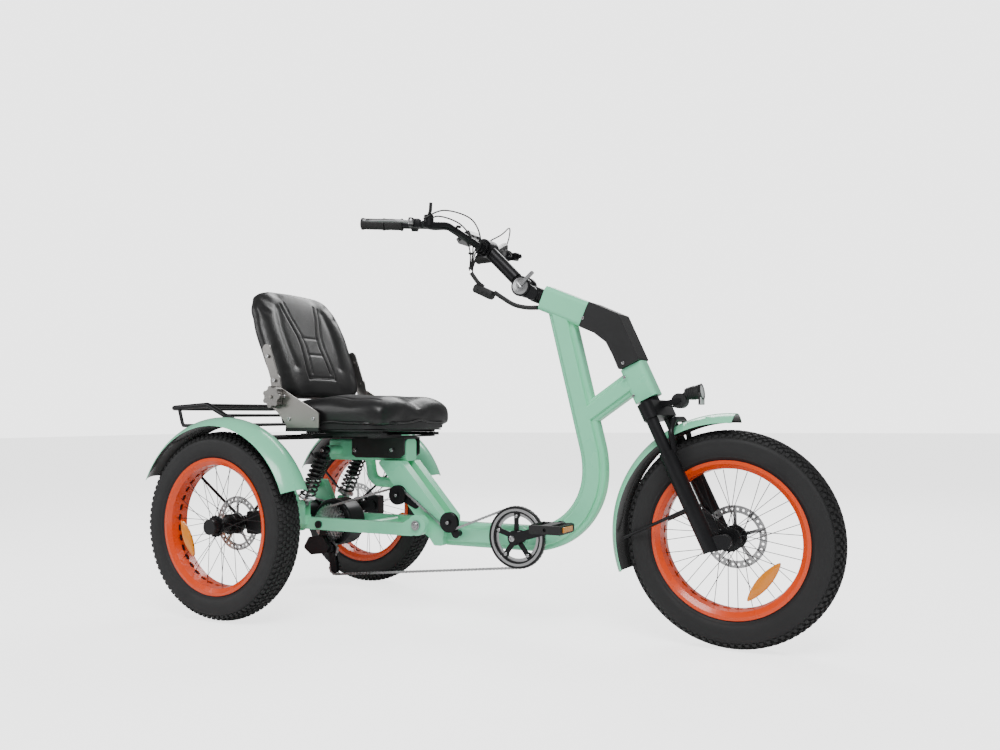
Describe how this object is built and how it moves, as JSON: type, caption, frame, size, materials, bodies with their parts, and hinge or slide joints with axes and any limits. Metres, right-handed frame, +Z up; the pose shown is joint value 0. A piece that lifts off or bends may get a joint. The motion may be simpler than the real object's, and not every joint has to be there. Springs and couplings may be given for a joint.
{
  "type": "adult tricycle",
  "caption": "Low-seat pedal tricycle with a padded reclining seat, rear suspension, a suspension fork, disc brakes, fenders and a folding handlebar stem.",
  "frame": {"origin": "centre of the bounding box in plan, on the ground under the tyres", "axes": "+X towards the front wheel, +Y to the rider's left, +Z up"},
  "size_m": [2.1546, 0.86, 1.2407],
  "materials": {
    "frame_paint": "satin painted",
    "black_paint": "satin",
    "black_alloy": "satin anodised",
    "black_plastic": "matte",
    "gloss_black": "gloss",
    "steel": "brushed",
    "bolt_steel": "satin",
    "alloy": "satin",
    "rim_orange": "gloss painted",
    "tyre_black": "matte",
    "grip_rubber": "matte",
    "seat_vinyl": "semi-gloss",
    "fender_green": "semi-gloss",
    "pedal_black": "matte"
  },
  "bodies": {
    "frame": {"main_frame": "frame_paint", "neck_cover": "black_plastic", "seat_frame": "frame_paint", "seat_mount": "black_paint", "rear_rack": "black_alloy", "idler_guards": "black_alloy", "chain": "steel", "frame_hardware": "bolt_steel"},
    "idler_front": {"idler_front": "black_plastic"},
    "idler_rear": {"idler_rear": "black_plastic"},
    "crank": {"crankset": "black_alloy", "chainring": "alloy"},
    "pedal_left": {"pedal_left": "pedal_black"},
    "pedal_right": {"pedal_right": "pedal_black"},
    "carrier": {"swingarm": "frame_paint", "axle_fittings": "black_alloy", "rear_calipers": "black_alloy", "rear_fenders": "fender_green", "derailleur": "black_alloy", "axle_chain": "steel"},
    "derailleur_cage": {"derailleur_cage": "black_alloy"},
    "motor": {"motor_drum": "black_alloy", "cassette": "steel"},
    "differential": {"differential": "black_alloy"},
    "wheel_left": {"tyre_left": "tyre_black", "rim_left": "rim_orange", "spoked_hub_left": "black_alloy", "rotor_left": "steel"},
    "wheel_right": {"tyre_right": "tyre_black", "rim_right": "rim_orange", "spoked_hub_right": "black_alloy", "rotor_right": "steel"},
    "shock_bodies": {"shock_bodies": "black_alloy", "shock_springs": "black_paint"},
    "shock_rods": {"shock_rods": "steel"},
    "fork": {"fork_crown": "black_alloy"},
    "headlamp": {"headlamp": "black_plastic"},
    "fork_lowers": {"fork_lowers": "black_alloy", "front_fender": "fender_green"},
    "front_wheel": {"front_tyre": "tyre_black", "front_rim": "rim_orange", "front_spoked_hub": "black_alloy", "front_rotor": "steel"},
    "column": {"steering_column": "black_alloy"},
    "tilt_lever": {"tilt_lever": "alloy"},
    "stem": {"stem": "black_alloy", "handlebar": "black_alloy", "grips": "grip_rubber", "bar_clamps": "black_alloy", "display": "gloss_black", "wiring": "black_plastic"},
    "brake_lever_left": {"brake_lever_left": "alloy"},
    "brake_lever_right": {"brake_lever_right": "alloy"},
    "throttle": {"throttle": "grip_rubber"},
    "shifter": {"shifter": "black_plastic"},
    "seat": {"seat_base": "black_paint", "seat_cushion": "seat_vinyl"},
    "backrest": {"backrest": "seat_vinyl", "recliner_arms": "alloy"},
    "recliner_knob": {"recliner_knob": "bolt_steel"}
  },
  "joints": [
    {"name": "crank_turn", "type": "hinge", "parent": "frame", "child": "crank", "pos_m": [0.17225, 0, 0.265], "axis": [0, 1, 0], "continuous": true},
    {"name": "idler_front_spin", "type": "hinge", "parent": "frame", "child": "idler_front", "pos_m": [-0.06275, 0, 0.297], "axis": [0, 1, 0], "continuous": true},
    {"name": "idler_rear_spin", "type": "hinge", "parent": "frame", "child": "idler_rear", "pos_m": [-0.25475, 0, 0.374], "axis": [0, 1, 0], "continuous": true},
    {"name": "pedal_left_spin", "type": "hinge", "parent": "crank", "child": "pedal_left", "pos_m": [0.01845, 0, 0.2209], "axis": [0, 1, 0], "continuous": true},
    {"name": "pedal_right_spin", "type": "hinge", "parent": "crank", "child": "pedal_right", "pos_m": [0.32605, 0, 0.3091], "axis": [0, 1, 0], "continuous": true},
    {"name": "carrier_swing", "type": "hinge", "parent": "frame", "child": "carrier", "pos_m": [-0.15575, 0, 0.288], "axis": [0, 1, 0], "range_deg": [0, 5], "stiffness_Nm_per_rad": 2500, "springref_deg": -5.73, "deforming": ["chain"]},
    {"name": "cage_swing", "type": "hinge", "parent": "carrier", "child": "derailleur_cage", "pos_m": [-0.51875, 0, 0.188], "axis": [0, 1, 0], "range_deg": [-15, 15], "stiffness_Nm_per_rad": 1.5},
    {"name": "motor_spin", "type": "hinge", "parent": "carrier", "child": "motor", "pos_m": [-0.53775, 0, 0.272], "axis": [0, 1, 0], "continuous": true},
    {"name": "differential_spin", "type": "hinge", "parent": "carrier", "child": "differential", "pos_m": [-0.69575, 0, 0.29], "axis": [0, 1, 0], "continuous": true},
    {"name": "wheel_left_spin", "type": "hinge", "parent": "carrier", "child": "wheel_left", "pos_m": [-0.69575, 0, 0.29], "axis": [0, 1, 0], "continuous": true},
    {"name": "wheel_right_spin", "type": "hinge", "parent": "carrier", "child": "wheel_right", "pos_m": [-0.69575, 0, 0.29], "axis": [0, 1, 0], "continuous": true},
    {"name": "shock_tilt", "type": "hinge", "parent": "frame", "child": "shock_bodies", "pos_m": [-0.51575, 0, 0.515], "axis": [0, 1, 0], "range_deg": [0, 4.5]},
    {"name": "shock_slide", "type": "slide", "parent": "shock_bodies", "child": "shock_rods", "axis": [0.4412, 0, 0.8974], "range_m": [0, 0.039], "deforming": ["shock_springs"]},
    {"name": "fork_turn", "type": "hinge", "parent": "frame", "child": "fork", "pos_m": [0.73325, 0, 0.29], "axis": [-0.4147, 0, 0.91], "range_deg": [-35, 35]},
    {"name": "fork_slide", "type": "slide", "parent": "fork", "child": "fork_lowers", "axis": [-0.4147, 0, 0.91], "range_m": [0, 0.025], "stiffness_N_per_m": 8000, "springref_m": -0.03},
    {"name": "front_wheel_spin", "type": "hinge", "parent": "fork_lowers", "child": "front_wheel", "pos_m": [0.78725, 0, 0.29], "axis": [0, 1, 0], "continuous": true},
    {"name": "headlamp_tilt", "type": "hinge", "parent": "fork", "child": "headlamp", "pos_m": [0.65225, 0, 0.66], "axis": [0, 1, 0], "range_deg": [-12, 0]},
    {"name": "handlebar_turn", "type": "hinge", "parent": "frame", "child": "column", "pos_m": [0.24525, 0, 0.973], "axis": [-0.9178, 0, 0.3971], "range_deg": [-35, 35]},
    {"name": "stem_tilt", "type": "hinge", "parent": "column", "child": "stem", "pos_m": [0.17134, 0, 1.0137], "axis": [0, 1, 0], "range_deg": [0, 40]},
    {"name": "tilt_lever_turn", "type": "hinge", "parent": "column", "child": "tilt_lever", "pos_m": [0.17134, -0.034, 1.0137], "axis": [-0.632, 0, 0.775], "range_deg": [-100, 0]},
    {"name": "brake_left_pull", "type": "hinge", "parent": "stem", "child": "brake_lever_left", "pos_m": [-0.02228, 0.32634, 1.17312], "axis": [0.0588, -0.022, 0.998], "range_deg": [0, 10], "stiffness_Nm_per_rad": 0.6, "springref_deg": -5.73},
    {"name": "brake_right_pull", "type": "hinge", "parent": "stem", "child": "brake_lever_right", "pos_m": [-0.02228, -0.32634, 1.17312], "axis": [-0.0588, -0.022, -0.998], "range_deg": [0, 10], "stiffness_Nm_per_rad": 0.6, "springref_deg": -5.73},
    {"name": "throttle_twist", "type": "hinge", "parent": "stem", "child": "throttle", "pos_m": [-0.05075, -0.29, 1.174], "axis": [-0.9351, -0.3489, 0.0628], "range_deg": [0, 60], "stiffness_Nm_per_rad": 0.15, "springref_deg": -11.46},
    {"name": "shifter_swing", "type": "hinge", "parent": "stem", "child": "shifter", "pos_m": [-0.02075, -0.235, 1.206], "axis": [0, 0, 1], "range_deg": [-20, 20]},
    {"name": "seat_slide", "type": "slide", "parent": "frame", "child": "seat", "axis": [1, 0, 0], "range_m": [-0.04, 0.05]},
    {"name": "recline", "type": "hinge", "parent": "seat", "child": "backrest", "pos_m": [-0.60775, 0, 0.689], "axis": [0, 1, 0], "range_deg": [-20, 10]},
    {"name": "knob_turn", "type": "hinge", "parent": "seat", "child": "recliner_knob", "pos_m": [-0.60775, 0, 0.689], "axis": [0, 1, 0], "continuous": true}
  ],
  "couplings": [
    {"joint": "idler_front_spin", "follows": "crank_turn", "ratio": -3.556},
    {"joint": "idler_rear_spin", "follows": "crank_turn", "ratio": 3.556},
    {"joint": "motor_spin", "follows": "crank_turn", "ratio": 1.7431},
    {"joint": "differential_spin", "follows": "crank_turn", "ratio": 1.2347},
    {"joint": "shock_tilt", "follows": "carrier_swing", "ratio": 0.838},
    {"joint": "shock_slide", "follows": "carrier_swing", "m_per_rad": 0.4252},
    {"joint": "handlebar_turn", "follows": "fork_turn", "ratio": 1}
  ]
}
